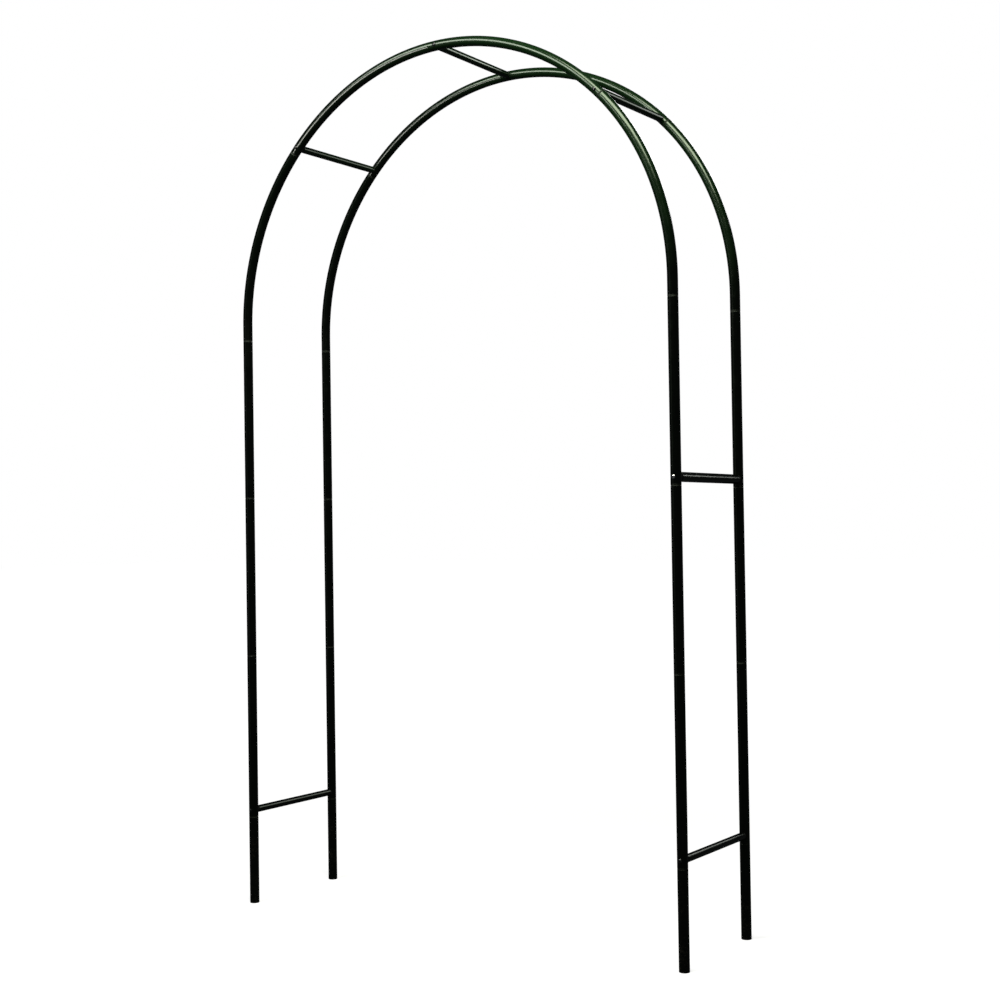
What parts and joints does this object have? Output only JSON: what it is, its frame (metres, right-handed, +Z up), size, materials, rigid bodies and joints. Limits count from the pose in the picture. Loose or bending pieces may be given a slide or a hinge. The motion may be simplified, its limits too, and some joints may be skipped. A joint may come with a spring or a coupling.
{
  "type": "garden trellis arch",
  "caption": "Tall walk-through garden arch: two round-topped tubular steel hoops standing side by side, tied together by short crossbars, in dark green coated tube.",
  "frame": {"origin": "on the ground, midway between the four feet, at the bottom centre of the whole arch", "axes": "+Z up; +X across the walkway, from the left legs to the right legs seen from the front; +Y along the path, from the front hoop to the rear hoop"},
  "size_m": [1.427, 0.386, 2.4],
  "materials": {
    "coated_tube": "gloss black-green powder coat on steel tube",
    "coated_crossbar": "gloss black-green powder coat on steel tube",
    "black_plastic": "moulded black polyethylene, fine grain",
    "coated_screw": "black-passivated button-head screw",
    "zinc_steel": "bright zinc plate"
  },
  "bodies": {
    "root": {"front_left_foot_tube": "coated_tube", "front_left_lower_leg_tube": "coated_tube", "front_left_middle_leg_tube": "coated_tube", "front_left_upper_leg_tube": "coated_tube", "front_left_lower_arc_tube": "coated_tube", "front_left_upper_arc_tube": "coated_tube", "front_right_foot_tube": "coated_tube", "front_right_lower_leg_tube": "coated_tube", "front_right_middle_leg_tube": "coated_tube", "front_right_upper_leg_tube": "coated_tube", "front_right_lower_arc_tube": "coated_tube", "front_right_upper_arc_tube": "coated_tube", "rear_left_foot_tube": "coated_tube", "rear_left_lower_leg_tube": "coated_tube", "rear_left_middle_leg_tube": "coated_tube", "rear_left_upper_leg_tube": "coated_tube", "rear_left_lower_arc_tube": "coated_tube", "rear_left_upper_arc_tube": "coated_tube", "rear_right_foot_tube": "coated_tube", "rear_right_lower_leg_tube": "coated_tube", "rear_right_middle_leg_tube": "coated_tube", "rear_right_upper_leg_tube": "coated_tube", "rear_right_lower_arc_tube": "coated_tube", "rear_right_upper_arc_tube": "coated_tube", "crown_crossbar": "coated_crossbar", "left_shoulder_crossbar": "coated_crossbar", "right_shoulder_crossbar": "coated_crossbar", "right_middle_crossbar": "coated_crossbar", "left_lower_crossbar": "coated_crossbar", "right_lower_crossbar": "coated_crossbar", "front_left_foot_plug": "black_plastic", "front_right_foot_plug": "black_plastic", "rear_left_foot_plug": "black_plastic", "rear_right_foot_plug": "black_plastic", "crown_front_saddle_plug": "black_plastic", "crown_front_screw": "coated_screw", "crown_rear_saddle_plug": "black_plastic", "crown_rear_screw": "coated_screw", "left_shoulder_front_saddle_plug": "black_plastic", "left_shoulder_front_screw": "coated_screw", "left_shoulder_rear_saddle_plug": "black_plastic", "left_shoulder_rear_screw": "coated_screw", "right_shoulder_front_saddle_plug": "black_plastic", "right_shoulder_front_screw": "coated_screw", "right_shoulder_rear_saddle_plug": "black_plastic", "right_shoulder_rear_screw": "coated_screw", "right_middle_front_saddle_plug": "black_plastic", "right_middle_front_screw": "coated_screw", "right_middle_rear_saddle_plug": "black_plastic", "right_middle_rear_screw": "coated_screw", "left_lower_front_saddle_plug": "black_plastic", "left_lower_front_screw": "coated_screw", "left_lower_rear_saddle_plug": "black_plastic", "left_lower_rear_screw": "coated_screw", "right_lower_front_saddle_plug": "black_plastic", "right_lower_front_screw": "coated_screw", "right_lower_rear_saddle_plug": "black_plastic", "right_lower_rear_screw": "coated_screw", "threaded_inserts": "zinc_steel"}
  },
  "joints": []
}
